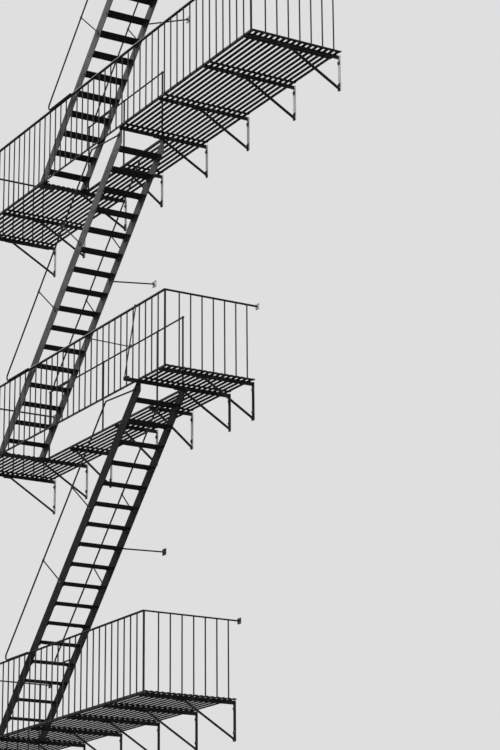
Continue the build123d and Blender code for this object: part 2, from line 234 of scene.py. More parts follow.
def painted_iron(name, coat, chalked, rust=0.4, wear=0.5, dust=0.5, gloss=0.25, over=None):
    """Old brushed oil paint on rolled iron: chalked patches, rain runs, rust, worn edges, dust."""
    material = bpy.data.materials.new(name)
    material.use_nodes = True
    tree = material.node_tree
    tree.nodes.clear()
    place = add(tree, "ShaderNodeTexCoord").outputs["Object"]
    surface = add(tree, "ShaderNodeNewGeometry")

    # Chalked patches a forearm long, where sun has dulled the coat
    patches = stain(tree, place, 430, 0.38, 0.66, seed=1.7)
    colour = add(tree, "ShaderNodeMix", {0: patches, MIX_A: linear(coat), MIX_B: linear(chalked)},
                 data_type="RGBA").outputs[MIX_RESULT]

    # Rain runs, a hand wide and eight times as long
    runs = stain(tree, place, 110, 0.52, 0.70, drawn_out=(1.0, 1.0, 0.12), seed=4.1, most=0.35)
    colour = add(tree, "ShaderNodeMix", {0: runs, MIX_A: colour, MIX_B: linear(RAIN_GREY)},
                 data_type="RGBA").outputs[MIX_RESULT]

    # Brush marks and grit; the real ones are 2 mm, drawn at 13 mm so that they show
    grit = stain(tree, place, 13, 0.35, 0.75, seed=8.0, least=0.75, most=1.3)
    grit_tone = add(tree, "ShaderNodeCombineColor", {"Red": grit, "Green": grit, "Blue": grit})
    colour = add(tree, "ShaderNodeMix",
                 {0: 1.0, MIX_A: colour, MIX_B: grit_tone.outputs["Color"]},
                 data_type="RGBA", blend_type="MULTIPLY").outputs[MIX_RESULT]

    # Rust: blooms as wide as a palm and freckles as wide as a thumb
    blooms = stain(tree, place, 150, 0.60, 0.68, seed=12.3)
    freckles = stain(tree, place, 24, 0.60, 0.68, seed=3.3, most=0.7)
    rusty = add(tree, "ShaderNodeMath", {0: blooms, 1: freckles}, operation="MAXIMUM").outputs[0]
    rusty = add(tree, "ShaderNodeMath", {0: rusty, 1: rust}, operation="MULTIPLY").outputs[0]
    rust_shade = stain(tree, place, 36, 0.30, 0.70, seed=7.1)
    rust_tone = add(tree, "ShaderNodeMix",
                    {0: rust_shade, MIX_A: linear(RUST_DARK), MIX_B: linear(RUST_LIGHT)},
                    data_type="RGBA").outputs[MIX_RESULT]
    colour = add(tree, "ShaderNodeMix", {0: rusty, MIX_A: colour, MIX_B: rust_tone},
                 data_type="RGBA").outputs[MIX_RESULT]

    # Corners rubbed through to grey metal
    eased = add(tree, "ShaderNodeBevel", {"Radius": 0.0022}, samples=4)
    turned = add(tree, "ShaderNodeVectorMath",
                 {0: eased.outputs["Normal"], 1: surface.outputs["True Normal"]},
                 operation="DOT_PRODUCT")
    corner = add(tree, "ShaderNodeMapRange",
                 {"Value": turned.outputs["Value"], "From Min": 0.995, "From Max": 0.90,
                  "To Min": 0.0, "To Max": wear})
    rubbed = stain(tree, place, 42, 0.40, 0.62, seed=5.5)
    worn = add(tree, "ShaderNodeMath", {0: corner.outputs["Result"], 1: rubbed},
               operation="MULTIPLY").outputs[0]
    colour = add(tree, "ShaderNodeMix", {0: worn, MIX_A: colour, MIX_B: linear(BARE_METAL)},
                 data_type="RGBA").outputs[MIX_RESULT]

    # Street dust on what faces the sky
    upward = add(tree, "ShaderNodeSeparateXYZ", {"Vector": surface.outputs["Normal"]})
    level = add(tree, "ShaderNodeMapRange",
                {"Value": upward.outputs["Z"], "From Min": 0.6, "From Max": 0.98,
                 "To Min": 0.0, "To Max": dust})
    lying = stain(tree, place, 70, 0.35, 0.68, seed=2.2)
    settled = add(tree, "ShaderNodeMath", {0: level.outputs["Result"], 1: lying},
                  operation="MULTIPLY").outputs[0]
    colour = add(tree, "ShaderNodeMix",
                 {0: settled, MIX_A: colour, MIX_B: linear(STREET_DUST)},
                 data_type="RGBA").outputs[MIX_RESULT]
    if over is not None:
        colour = over(tree, place, colour)

    # Soot and painted shade on what faces the ground: soot where no rain washes it off, and a
    # darker colour that stands in for the shade under things
    sooty_and_shaded = add(tree, "ShaderNodeMapRange",
                {"Value": upward.outputs["Z"], "From Min": -0.55, "From Max": -0.95,
                 "To Min": 0.0, "To Max": 0.85}).outputs["Result"]
    colour = add(tree, "ShaderNodeMix", {0: sooty_and_shaded, MIX_A: colour, MIX_B: linear(SOOT_AND_SHADE)},
                 data_type="RGBA").outputs[MIX_RESULT]

    # A chalked coat is dull, rust, dust and soot are duller
    rough = stain(tree, place, 90, 0.30, 0.72, seed=9.4, least=0.46, most=0.70)
    for mark, dullness in ((rusty, 2.2), (settled, 1.6), (sooty_and_shaded, 1.1)):
        dulled = add(tree, "ShaderNodeMath", {0: mark, 1: dullness}, operation="MULTIPLY")
        rough = add(tree, "ShaderNodeMath", {0: rough, 1: dulled.outputs[0]},
                    operation="MAXIMUM").outputs[0]
    rough = add(tree, "ShaderNodeMath", {0: rough, 1: DULLEST}, operation="MINIMUM").outputs[0]

    # Thick paint over mill scale: brush ridges, pits and the raised edge of the rust
    ridges = stain(tree, place, 6, 0.2, 0.8, seed=0.4, most=0.35)
    hollows = stain(tree, place, 45, 0.2, 0.8, seed=6.0, most=0.6)
    height = add(tree, "ShaderNodeMath", {0: ridges, 1: hollows}, operation="ADD").outputs[0]
    height = add(tree, "ShaderNodeMath", {0: height, 1: rusty}, operation="ADD").outputs[0]
    bump = add(tree, "ShaderNodeBump", {"Height": height, "Strength": 0.45, "Distance": 0.0012})
    shader = add(tree, "ShaderNodeBsdfPrincipled",
                 {"Base Color": colour, "Roughness": rough, "IOR": 1.5,
                  "Specular IOR Level": gloss, "Normal": bump.outputs["Normal"]})
    add(tree, "ShaderNodeOutputMaterial", {"Surface": shader.outputs["BSDF"]})
    return material


def zone(tree, place, *edges):
    """1 where each coordinate is past its edge in metres, which blurs from start to full."""
    axes = add(tree, "ShaderNodeSeparateXYZ", {"Vector": place})
    inside = 1.0
    for axis, start, full in edges:
        past = add(tree, "ShaderNodeMapRange",
                   {"Value": axes.outputs[axis], "From Min": start, "From Max": full})
        inside = add(tree, "ShaderNodeMath", {0: inside, 1: past.outputs["Result"]},
                     operation="MULTIPLY").outputs[0]
    return inside


def near_wall(thickness):
    """The edge past which something of this thickness lies on the wall, for a zone."""
    return "Y", -(thickness + 1.2) / 1000, -(thickness + 0.8) / 1000


def pale_with_lime_and_light(tree, place, colour, where):
    """Pale there, in runs longer than wide: lime washed down from the joints, with painted sky
    light on the wall legs and rail plates.
    """
    patchy = stain(tree, place, 210, 0.34, 0.56, drawn_out=(1.0, 1.0, 0.35), seed=15.0,
                   least=0.66, most=0.96)
    mask = add(tree, "ShaderNodeMath", {0: where, 1: patchy}, operation="MULTIPLY").outputs[0]
    return add(tree, "ShaderNodeMix", {0: mask, MIX_A: colour, MIX_B: linear(LIME_AND_SKY_LIGHT)},
               data_type="RGBA").outputs[MIX_RESULT]


def legs_lime_and_painted_light(tree, place, colour):
    """The top balconies' wall legs are pale, and the middle one's past the stair's head: lime wash
    and painted sky light.
    """
    legs = zone(tree, place, near_wall(LEG_THICKNESS), ("Z", 3.0, 3.1))
    far_ones = zone(tree, place, ("X", -0.4, -0.5))
    top_ones = zone(tree, place, ("Z", 5.0, 5.1))
    chosen = add(tree, "ShaderNodeMath", {0: far_ones, 1: top_ones},
                 operation="MAXIMUM").outputs[0]
    pale = add(tree, "ShaderNodeMath", {0: legs, 1: chosen}, operation="MULTIPLY").outputs[0]
    return pale_with_lime_and_light(tree, place, colour, pale)


def lime_washed_stay_plates(tree, place, colour):
    """The wall plates of the two upper stays are pale."""
    plates = zone(tree, place, near_wall(STAY_PLATE_THICKNESS), ("Z", 5.0, 5.1))
    return pale_with_lime_and_light(tree, place, colour, plates)


def pale_plates_and_rail_highlight(tree, place, colour):
    """Above the lowest balcony the wall plates are pale, and the rails' street faces carry a
    painted highlight.
    """
    plates = zone(tree, place, near_wall(WALL_PLATE_THICKNESS), ("Z", 3.0, 3.1))
    colour = pale_with_lime_and_light(tree, place, colour, plates)
    # Painted highlight along the street face of each top rail, in patches
    kept = stain(tree, place, 60, 0.36, 0.62, seed=18.0, least=0.95, most=0.72)
    for name in ("middle", "top", "upper"):
        street = node_box(f"{name}_outer_railing")[0].y / 1000
        top = (node_box(f"{name}_floor_slats")[1].z + RAIL_HEIGHT) / 1000
        under = top - RAIL_THICKNESS / 1000
        edge = zone(tree, place, ("Y", street + 0.0012, street + 0.0008),
                    ("Z", under - 0.0006, under - 0.0002), ("Z", top + 0.02, top + 0.01))
        mask = add(tree, "ShaderNodeMath", {0: edge, 1: kept}, operation="MULTIPLY").outputs[0]
        colour = add(tree, "ShaderNodeMix", {0: mask, MIX_A: colour, MIX_B: linear(RAIL_HIGHLIGHT)},
                     data_type="RGBA").outputs[MIX_RESULT]
    return colour


def darker_lower_stair(tree, place, colour):
    """The lowest stair is darker than the two above it."""
    lower = zone(tree, place, ("Z", 3.92, 3.86))
    kept = stain(tree, place, 300, 0.40, 0.70, seed=20.0, least=0.98, most=0.92)
    mask = add(tree, "ShaderNodeMath", {0: lower, 1: kept}, operation="MULTIPLY").outputs[0]
    return add(tree, "ShaderNodeMix", {0: mask, MIX_A: colour, MIX_B: linear(LOWER_STAIR_DARK)},
               data_type="RGBA").outputs[MIX_RESULT]


finishes = {
    "floor_iron": painted_iron("tarred_oil_paint_on_slats", "#111112", "#1b1b1c", rust=0.35,
                               wear=0.4, dust=0.55, gloss=0.12),
    "bracket_iron": painted_iron("oil_paint_on_forged_brackets", "#131314", "#1e1e1f", rust=0.40,
                                 wear=0.5, dust=0.5, gloss=0.14, over=legs_lime_and_painted_light),
    "railing_iron": painted_iron("oil_paint_on_square_bar", "#1a1a1b", "#292929", rust=0.35,
                                 wear=0.6, dust=0.6, gloss=0.18, over=pale_plates_and_rail_highlight),
    "stringer_iron": painted_iron("chalked_oil_paint_on_plate", "#404041", "#575758", rust=0.30,
                                  wear=0.7, dust=0.5, gloss=0.08, over=darker_lower_stair),
    "tread_iron": painted_iron("foot_worn_oil_paint_on_treads", "#111112", "#1b1b1c", rust=0.40,
                               wear=0.6, dust=0.6, gloss=0.12),
    "rod_iron": painted_iron("oil_paint_on_round_rod", "#161617", "#222223", rust=0.30,
                             wear=0.4, dust=0.5, gloss=0.18, over=lime_washed_stay_plates),
}
# Rivets and bolts keep less paint than what they hold, and zinc shows on the newer bolts
bolt_paint = painted_iron("flaking_oil_paint_on_bolts", "#2a2a2b", "#464647", rust=0.55, wear=0.8)
zinc_bolts = painted_iron("weathered_zinc_on_bolts", "#6e6e6d", "#969694", rust=0.35, wear=0.8,
                          dust=0.3)

for subpart in frame["record"]["subparts"]:
    node_mesh = ironwork[subpart["node"]].data
    node_mesh.materials.clear()
    node_mesh.materials.append(finishes[subpart["material_slot"]])


# Fasteners and fittings, each made once and then set in place, in millimetres
def as_pattern(work):
    """The finished work as a mesh to copy from, its faces turned outward."""
    bmesh.ops.recalc_face_normals(work, faces=work.faces)
    pattern = bpy.data.meshes.new("pattern")
    work.to_mesh(pattern)
    work.free()
    return pattern


def top_edges(work):
    """Edges round the highest face."""
    highest = max(vert.co.z for vert in work.verts)
    return [edge for edge in work.edges if all(vert.co.z > highest - 0.01 for vert in edge.verts)]


def driven_rivet(across, height):
    """A rivet's round head, sunk a little way into what it holds."""
    work = bmesh.new()
    bmesh.ops.create_cone(work, cap_ends=True, segments=10, radius1=across / 2,
                          radius2=across * 0.43, depth=height * 0.6,
                          matrix=Matrix.Translation((0, 0, height * 0.2)))
    crown = [face for face in work.faces if face.normal.z > 0.9]
    bmesh.ops.inset_region(work, faces=crown, thickness=across * 0.2, depth=height * 0.5)
    return as_pattern(work)


def hexagon_bolt(flats, height, washer, shank=0.0, below=0.0):
    """A hexagon head on a round washer, and a shank below it where the hole is open to view."""
    work = bmesh.new()
    head_radius = flats / 2 / math.cos(math.pi / 6)
    bmesh.ops.create_cone(work, cap_ends=True, segments=6, radius1=head_radius,
                          radius2=head_radius, depth=height - 1.5,
                          matrix=Matrix.Translation((0, 0, height / 2 + 0.75)))
    bmesh.ops.bevel(work, geom=top_edges(work), offset=flats * 0.07, offset_type="OFFSET",
                    segments=2, profile=0.5, affect="EDGES", material=-1)
    bmesh.ops.create_cone(work, cap_ends=True, segments=14, radius1=washer / 2,
                          radius2=washer * 0.46, depth=3.0,
                          matrix=Matrix.Translation((0, 0, 0.9)))
    if below:
        bmesh.ops.create_cone(work, cap_ends=True, segments=14, radius1=shank / 2,
                              radius2=shank / 2, depth=below,
                              matrix=Matrix.Translation((0, 0, -below / 2)))
    return as_pattern(work)


def square_washer(side, thickness):
    """A thick square washer with eased edges."""
    work = bmesh.new()
    bmesh.ops.create_cube(work, size=1.0)
    bmesh.ops.scale(work, vec=(side, side, thickness + 0.6), verts=work.verts)
    bmesh.ops.translate(work, vec=(0, 0, thickness / 2 - 0.3), verts=work.verts)
    bmesh.ops.bevel(work, geom=top_edges(work), offset=1.2, offset_type="OFFSET", segments=2,
                    profile=0.5, affect="EDGES", material=-1)
    return as_pattern(work)


def forged_collar(across, length):
    """A collar shrunk round a rod, with rounded rims."""
    work = bmesh.new()
    bmesh.ops.create_cone(work, cap_ends=True, segments=16, radius1=across / 2,
                          radius2=across / 2, depth=length)
    rims = [edge for edge in work.edges if abs(edge.verts[0].co.z - edge.verts[1].co.z) < 0.01]
    bmesh.ops.bevel(work, geom=rims, offset=across * 0.09, offset_type="OFFSET", segments=2,
                    profile=0.5, affect="EDGES", material=-1)
    return as_pattern(work)


def bent_ear(radius, thickness, width):
    """A strap bent a quarter turn, from under a tread round to the stringer on its +y side."""
    work = bmesh.new()
    start = bmesh.ops.create_grid(work, x_segments=1, y_segments=1, size=0.5,
                                  matrix=Matrix.Rotation(math.pi / 2, 4, "X"))["verts"]
    bmesh.ops.scale(work, vec=(width, 1.0, thickness), verts=start)
    bmesh.ops.translate(work, vec=(0, 0, radius - thickness / 2), verts=start)
    bmesh.ops.spin(work, geom=work.faces[:], cent=(0, 0, 0), axis=(1, 0, 0), dvec=(0, 0, 0),
                   angle=-math.pi / 2, steps=7, use_merge=False, use_duplicate=False)
    return as_pattern(work)


def binding_band(across, tall, length):
    """A band bent close round two bars that lie one on the other, with rounded rims."""
    work = bmesh.new()
    bmesh.ops.create_cone(work, cap_ends=True, segments=20, radius1=0.5, radius2=0.5, depth=length)
    bmesh.ops.scale(work, vec=(across, tall, 1.0), verts=work.verts)
    rims = [edge for edge in work.edges if abs(edge.verts[0].co.z - edge.verts[1].co.z) < 0.01]
    bmesh.ops.bevel(work, geom=rims, offset=2.0, offset_type="OFFSET", segments=2, profile=0.5,
                    affect="EDGES", material=-1)
    return as_pattern(work)


def saddle_clip(rod, width, foot):
    """A strap bent over a rod that lies along x, with a foot each side."""
    work = bmesh.new()
    centre = rod / 2 + SEAT_CLEARANCE
    inner = rod / 2 + 0.2
    corners = [work.verts.new((x, y, centre)) for x, y in
               ((-width / 2, inner), (width / 2, inner), (width / 2, inner + CLIP_THICKNESS),
                (-width / 2, inner + CLIP_THICKNESS))]
    start = work.faces.new(corners)
    bmesh.ops.spin(work, geom=[start], cent=(0, 0, centre), axis=(1, 0, 0), dvec=(0, 0, 0),
                   angle=math.pi, steps=8, use_merge=False, use_duplicate=False)
    ends = [face for face in work.faces
            if all(abs(vert.co.z - centre) < 0.01 for vert in face.verts)]
    legs = bmesh.ops.extrude_face_region(work, geom=ends)["geom"]
    bmesh.ops.delete(work, geom=ends, context="FACES_ONLY")
    lowered = [item for item in legs if isinstance(item, bmesh.types.BMVert)]
    bmesh.ops.translate(work, vec=(0, 0, -centre), verts=lowered)
    for side in (-1, 1):
        plate = bmesh.ops.create_cube(work, size=1.0)["verts"]
        bmesh.ops.scale(work, vec=(width, foot, CLIP_THICKNESS), verts=plate)
        middle = (0, side * (inner + foot / 2), CLIP_THICKNESS / 2 - SEAT_CLEARANCE)
        bmesh.ops.translate(work, vec=middle, verts=plate)
    return as_pattern(work)


small_rivet = driven_rivet(16.0, 4.5)
slat_rivet = driven_rivet(18.0, 6.0)
tread_rivet = driven_rivet(21.0, 7.0)
plate_bolt = hexagon_bolt(13.0, 8.0, 20.0)
wall_bolt = hexagon_bolt(21.0, 13.0, 31.0, shank=12.0,
                         below=LEG_THICKNESS + WASHER_THICKNESS - 0.5)
foot_bolt = hexagon_bolt(19.0, 11.0, 28.0)
wall_washer = square_washer(44.0, WASHER_THICKNESS)
rail_collar = forged_collar(29.0, 30.0)
rod_collar = forged_collar(27.0, 36.0)
stay_boss = forged_collar(STAY_ROD + 12, 22.0)
tread_ear = bent_ear(EAR_RADIUS, EAR_THICKNESS, EAR_WIDTH)
guard_cap = driven_rivet(GUARD_ROD - 0.4, 7.0)
rod_clip = saddle_clip(STANCHION_ROD, 20.0, 22.0)
handrail_clip = saddle_clip(HANDRAIL_ROD, 24.0, 22.0)
brace_clip = saddle_clip(BRACE_ROD, 20.0, 20.0)
tie_band = binding_band(28.0, 44.0, 16.0)
header_band = binding_band(26.0, 40.0, 16.0)


def set_in(work, pattern, at, facing, turn=0.0):
    """One more copy of a pattern, standing on a surface that faces that way."""
    first = len(work.verts)
    work.from_mesh(pattern)
    work.verts.ensure_lookup_table()
    stand = Vector(facing).to_track_quat("Z", "Y").to_matrix().to_4x4()
    place = Matrix.Translation(at) @ stand @ Matrix.Rotation(turn, 4, "Z")
    bmesh.ops.transform(work, matrix=place, verts=work.verts[first:])


def fit(name, work, material):
    """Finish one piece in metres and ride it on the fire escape."""
    bmesh.ops.scale(work, vec=(0.001, 0.001, 0.001), verts=work.verts)
    mesh = bpy.data.meshes.new(name)
    work.to_mesh(mesh)
    work.free()
    mesh.materials.append(material)
    for face in mesh.polygons:
        face.use_smooth = True
    mesh.set_sharp_from_angle(angle=math.radians(38))
    piece = bpy.data.objects.new(name, mesh)
    bpy.context.scene.collection.objects.link(piece)
    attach(piece, "root")


def spaced(start, end, pitch):
    """Even places from start to end, as near to the pitch as they fit."""
    count = max(1, round(abs(end - start) / pitch))
    return [start + (end - start) * index / count for index in range(count + 1)]


def slat_rivets(name):
    """Heads above and below each slat where it crosses a cross bar or an end bar."""
    low, high = node_box(f"{name}_floor_slats")
    level = high.z
    under = level - SLAT_THICKNESS - BATTEN_THICKNESS
    pitch = (high.y - low.y - SLAT_WIDTH) / (SLAT_COUNT - 1)
    whole, headers = WHOLE_BRACKETS[name], HEADER_BRACKETS[name]
    crossings = [whole[0] - BATTEN_OFFSET, *[x + BATTEN_OFFSET for x in whole[1:]],
                 *[x + BATTEN_OFFSET for x in headers[:1]],
                 *[x - BATTEN_OFFSET for x in headers[1:]],
                 low.x + END_BAR_RIVETS, high.x - END_BAR_RIVETS]
    strip_crossings = [x + BATTEN_OFFSET for x in SHORT_BRACKETS[name]]
    work = bmesh.new()
    for index in range(SLAT_COUNT):
        y = high.y - SLAT_WIDTH / 2 - index * pitch
        for x in crossings + (strip_crossings if index < WELL_SLATS else []):
            set_in(work, small_rivet, (x, y, level), UP)
            set_in(work, slat_rivet, (x, y, under), DOWN)
    fit(f"{name}_floor_rivets", work, bolt_paint)


def railing_rivets(name):
    """Baluster feet riveted to the edge bar, and their tops riveted over on the rail."""
    low, high = node_box(f"{name}_floor_slats")
    level = high.z
    line = node_box(f"{name}_outer_railing")[0].y + RAIL_WIDTH / 2
    edge_bar_middle = level - SLAT_THICKNESS - EDGE_BAR_HEIGHT / 2
    work = bmesh.new()
    for x in spaced(low.x - BALUSTER / 2, high.x + BALUSTER / 2, BALUSTER_PITCH):
        set_in(work, small_rivet, (x, line - BALUSTER / 2, edge_bar_middle), STREET)
        set_in(work, small_rivet, (x, line, level + RAIL_HEIGHT), UP)
    for x in (low.x - BALUSTER / 2, high.x + BALUSTER / 2):
        for count in range(1, round(-line / BALUSTER_PITCH)):
            y = -count * BALUSTER_PITCH
            set_in(work, small_rivet, (x, y, level - SLAT_THICKNESS - BATTEN_THICKNESS), DOWN)
            set_in(work, small_rivet, (x, y, level + RAIL_HEIGHT), UP)
    fit(f"{name}_railing_rivets", work, bolt_paint)


def rail_end_bolts(name):
    """Four bolts in each wall plate that holds the end of a railing."""
    low, high = node_box(f"{name}_floor_slats")
    middle = high.z + RAIL_HEIGHT - RAIL_THICKNESS / 2
    across, up = RAIL_PLATE_BOLTS
    work = bmesh.new()
    for end in (low.x - BALUSTER / 2, high.x + BALUSTER / 2):
        for x in (end - across, end + across):
            for z in (middle - up, middle + up):
                set_in(work, plate_bolt, (x, -WALL_PLATE_THICKNESS, z), STREET)
    fit(f"{name}_rail_end_bolts", work, zinc_bolts)


def bracket_bolts(name):
    """Wall bolts through each leg, and the rivets that close each strut on beam and leg."""
    level = node_box(f"{name}_floor_slats")[1].z
    headers, short = HEADER_BRACKETS[name], SHORT_BRACKETS[name]
    bolts = bmesh.new()
    rivets = bmesh.new()
    for x in (*WHOLE_BRACKETS[name], *headers, *short):
        turn = math.radians(x)
        for drop in (UPPER_BOLT_DROP, LOWER_BOLT_DROP):
            set_in(bolts, wall_washer, (x, -LEG_THICKNESS, level - drop), STREET)
            set_in(bolts, wall_bolt, (x, -LEG_THICKNESS - WASHER_THICKNESS, level - drop),
                   STREET, turn)
        shift = HEADER_STRUT_SHIFT if x in headers[:1] else 0.0
        height = HEADER_HEIGHT if x in headers else BEAM_HEIGHT
        reach, steps = STRUT_REACH, STRUT_RIVETS
        if x in short:
            reach, steps = STRIP_STRUT_REACH, STRIP_STRUT_RIVETS
        under_strut = level - SLAT_THICKNESS - height - STRUT_THICKNESS
        for step in steps:
            set_in(rivets, slat_rivet, (x + shift, -reach - step, under_strut), DOWN)
        foot = level - LEG_DROP[name] + STRUT_FOOT / 2
        set_in(rivets, slat_rivet, (x + shift, -LEG_THICKNESS - STRUT_THICKNESS, foot), STREET)
    fit(f"{name}_wall_bolts", bolts, bolt_paint)
    fit(f"{name}_strut_rivets", rivets, bolt_paint)


def guard_fittings(name):
    """Collars where the guard rail passes its posts, and the rail's rounded ends."""
    low, high = node_box(f"{name}_stairwell_guard")
    y = (low.y + high.y) / 2
    rail = high.z - GUARD_ROD / 2
    posts = GUARD_POSTS[name]
    work = bmesh.new()
    for x in posts:
        set_in(work, rail_collar, (x, y, rail), NEAR)
    set_in(work, guard_cap, (posts[0] + GUARD_RAIL_END, y, rail), NEAR)
    set_in(work, guard_cap, (posts[-1] - GUARD_RAIL_END, y, rail), FAR)
    fit(f"{name}_guard_fittings", work, bolt_paint)


def stair_line(name):
    """Foot level, rise, arrival, and outer and inner faces of a stair."""
    foot_floor, riser, risers = STAIRS[name]
    low = node_box(f"{foot_floor}_floor_slats")[1].z
    plates_low, plates_high = node_box(f"{name}_stair_stringers")
    plate_side = (FOOT_PLATE_WIDTH - STRINGER_THICKNESS) / 2
    rise = riser * risers
    arrival = plates_low.x - FOOT_PLATE_THICKNESS + STRINGER_RISE * math.sqrt(2) + rise
    return low, rise, arrival, plates_low.y + plate_side, plates_high.y - plate_side


def stair_bolts(name):
    """Bolts, rivets and bent ears of the treads, their narrow middle bars, bolts in the feet."""
    treads_low, treads_high = node_box(f"{name}_stair_treads")
    outer, inner = stair_line(name)[3:]
    riser, risers = STAIRS[name][1:]
    across = inner - outer - 2 * (STRINGER_THICKNESS + TREAD_END_GAP)
    bar_size = Matrix.Diagonal((MIDDLE_BAR_WIDTH, across, TREAD_THICKNESS, 1.0))
    ear_inset = STRINGER_THICKNESS + CLEAT_THICKNESS + EAR_RADIUS - EAR_SINK
    ear_drop = TREAD_THICKNESS + CLEAT_THICKNESS + EAR_RADIUS - EAR_SINK
    work = bmesh.new()
    ears = bmesh.new()
    bars = bmesh.new()
    for step in range(risers - 1):
        nose = treads_low.x + step * riser
        top = treads_high.z - (risers - 2 - step) * riser
        for back in TREAD_BOLTS:
            set_in(work, tread_rivet, (nose + back, outer, top - TREAD_BOLT_DROP), STREET)
            set_in(work, tread_rivet, (nose + back, inner, top - TREAD_BOLT_DROP), WALL)
        for back in TREAD_RIVETS:
            for y in (outer + TREAD_RIVET_INSET, inner - TREAD_RIVET_INSET):
                set_in(work, small_rivet, (nose + back, y, top), UP)
        ear_x, ear_z = nose + CLEAT_MIDDLE, top - ear_drop
        set_in(ears, tread_ear, (ear_x, inner - ear_inset, ear_z), UP, math.pi)
        set_in(ears, tread_ear, (ear_x, outer + ear_inset, ear_z), UP)
        middle = (nose + TREAD_DEPTH / 2, (outer + inner) / 2, top - TREAD_THICKNESS / 2)
        bmesh.ops.create_cube(bars, size=1.0, matrix=Matrix.Translation(middle) @ bar_size)
    plates_low = node_box(f"{name}_stair_stringers")[0]
    plate_top = plates_low.z + FOOT_PLATE_THICKNESS
    for along in FOOT_BOLTS:
        x = plates_low.x + along
        for y in (outer - FOOT_BOLT_OUTSIDE, outer + FOOT_BOLT_INSIDE,
                  inner - FOOT_BOLT_INSIDE, inner + FOOT_BOLT_OUTSIDE):
            set_in(work, foot_bolt, (x, y, plate_top), UP, x + y)
    fit(f"{name}_stair_bolts", work, finishes["tread_iron"])
    fit(f"{name}_tread_ears", ears, finishes["tread_iron"])
    fit(f"{name}_tread_middle_bars", bars, finishes["tread_iron"])


def set_clip(work, clip, at, along, away):
    """A saddle clip over a rod that lies along a face, and a rivet in each foot."""
    across = away.cross(along)
    stand = Matrix((along, across, away)).transposed().to_4x4()
    first = len(work.verts)
    work.from_mesh(clip)
    work.verts.ensure_lookup_table()
    bmesh.ops.transform(work, matrix=Matrix.Translation(at) @ stand, verts=work.verts[first:])
    for side in (-1, 1):
        foot = at + across * (side * CLIP_FOOT) + away * (CLIP_THICKNESS - 0.4)
        set_in(work, small_rivet, foot, away)


def handrail_fittings(name):
    """Collars where the stanchions meet the handrails, and clips on their feet."""
    low, rise, arrival, outer, inner = stair_line(name)
    rails_low, rails_high = node_box(f"{name}_stair_handrails")
    guard_top = node_box("middle_stairwell_guard")[1].z - node_box("middle_floor_slats")[1].z
    end_level = low + rise - HANDRAIL_END_DROP
    bend_x = arrival - HANDRAIL_LIFT - HANDRAIL_END_DROP
    slope = Vector((1, 0, 1)).normalized()
    square = Vector((1, 0, -1)).normalized()
    work = bmesh.new()
    sides = ((rails_low.y + HANDRAIL_ROD / 2, RAIL_HEIGHT - RAIL_THICKNESS / 2, outer, STREET),
             (rails_high.y - HANDRAIL_ROD / 2, guard_top + HANDRAIL_ROD / 2 + SEAT_CLEARANCE,
              inner, WALL))
    for y, level, face, away in sides:
        low_x = arrival - rise + level - HANDRAIL_LIFT
        for share in STANCHION_SHARES:
            joint = Vector((low_x + share * (bend_x - low_x), y,
                            low + level + share * (end_level - low - level)))
            set_in(work, rod_collar, joint, slope)
            drop = (HANDRAIL_LIFT - STRINGER_RISE * math.sqrt(2)) / 2
            foot = Vector((joint.x + drop, face, joint.z - drop))
            for along in STANCHION_CLIPS:
                set_clip(work, rod_clip, foot + square * along, square, away)
        seat = Vector((arrival - HANDRAIL_END_SETBACK - HANDRAIL_SEAT / 2, face, end_level))
        set_clip(work, handrail_clip, seat, NEAR, away)
    fit(f"{name}_handrail_fittings", work, bolt_paint)


def stringer_middle(name, x):
    """Height of the middle of a stringer's depth at a place along the wall."""
    low, rise, arrival = stair_line(name)[:3]
    return low + rise - (arrival - x) - (STRINGER_DEPTH / 2 - STRINGER_RISE) * math.sqrt(2)


def stay_fittings(name):
    """Bolts in a stay's wall plate, and a boss round each end of its rod."""
    stair_x, wall_x, lift = WALL_STAYS[name]
    inner = stair_line(name)[4]
    stair_z = stringer_middle(name, stair_x)
    stair_end = Vector((stair_x, inner + STAY_PLATE_THICKNESS, stair_z))
    wall_end = Vector((wall_x, -STAY_PLATE_THICKNESS, stair_z + lift))
    run = (wall_end - stair_end).normalized()
    work = bmesh.new()
    for across in (-STAY_PLATE_BOLTS, STAY_PLATE_BOLTS):
        for up in (-STAY_PLATE_BOLTS, STAY_PLATE_BOLTS):
            set_in(work, plate_bolt, wall_end + Vector((across, 0, up)), STREET)
    set_in(work, stay_boss, stair_end + run * BOSS_OUT, run)
    set_in(work, stay_boss, wall_end - run * BOSS_OUT, run)
    fit(f"{name}_stay_fittings", work, bolt_paint)


def tie_fittings():
    """Bands that bind the tie rod's foot to the guard rail, and clips at its head."""
    inner = stair_line("middle")[4]
    guard_low, guard_high = node_box("middle_stairwell_guard")
    rail_y = (guard_low.y + guard_high.y) / 2
    rod_y = inner + BRACE_ROD / 2 + SEAT_CLEARANCE
    work = bmesh.new()
    for along in TIE_BANDS:
        between_rods = (TIE_LOW_X + along, (rail_y + rod_y) / 2, guard_high.z - TIE_BAND_SINK)
        set_in(work, tie_band, between_rods, NEAR)
    low = Vector((TIE_LOW_X, inner, guard_high.z + BRACE_ROD / 2 + SEAT_CLEARANCE))
    high = Vector((TIE_HIGH_X, inner, stringer_middle("middle", TIE_HIGH_X)))
    run = (low - high).normalized()
    for along in TIE_CLIPS:
        set_clip(work, brace_clip, high + run * along, run, WALL)
    fit("tie_rod_fittings", work, bolt_paint)


def brace_fittings():
    """Bands round the outrigger and the brace's foot, and a bolt through its head."""
    low, high = node_box("outrigger_brace")
    x = (low.x + high.x) / 2
    tip = node_box("middle_wall_brackets")[0].y
    seat = node_box("middle_floor_slats")[1].z - SLAT_THICKNESS
    foot_end = tip + BRACE_TIP_INSET + BRACE_LAND
    head = node_box("middle_outer_railing")[0].y - SEAT_CLEARANCE - BRACE_ROD
    work = bmesh.new()
    for inset in BRACE_BANDS:
        set_in(work, header_band, (x, foot_end - inset, seat), STREET)
    set_in(work, plate_bolt, (x, head, high.z - BRACE_BOLT_DROP), STREET)
    fit("outrigger_brace_fittings", work, bolt_paint)


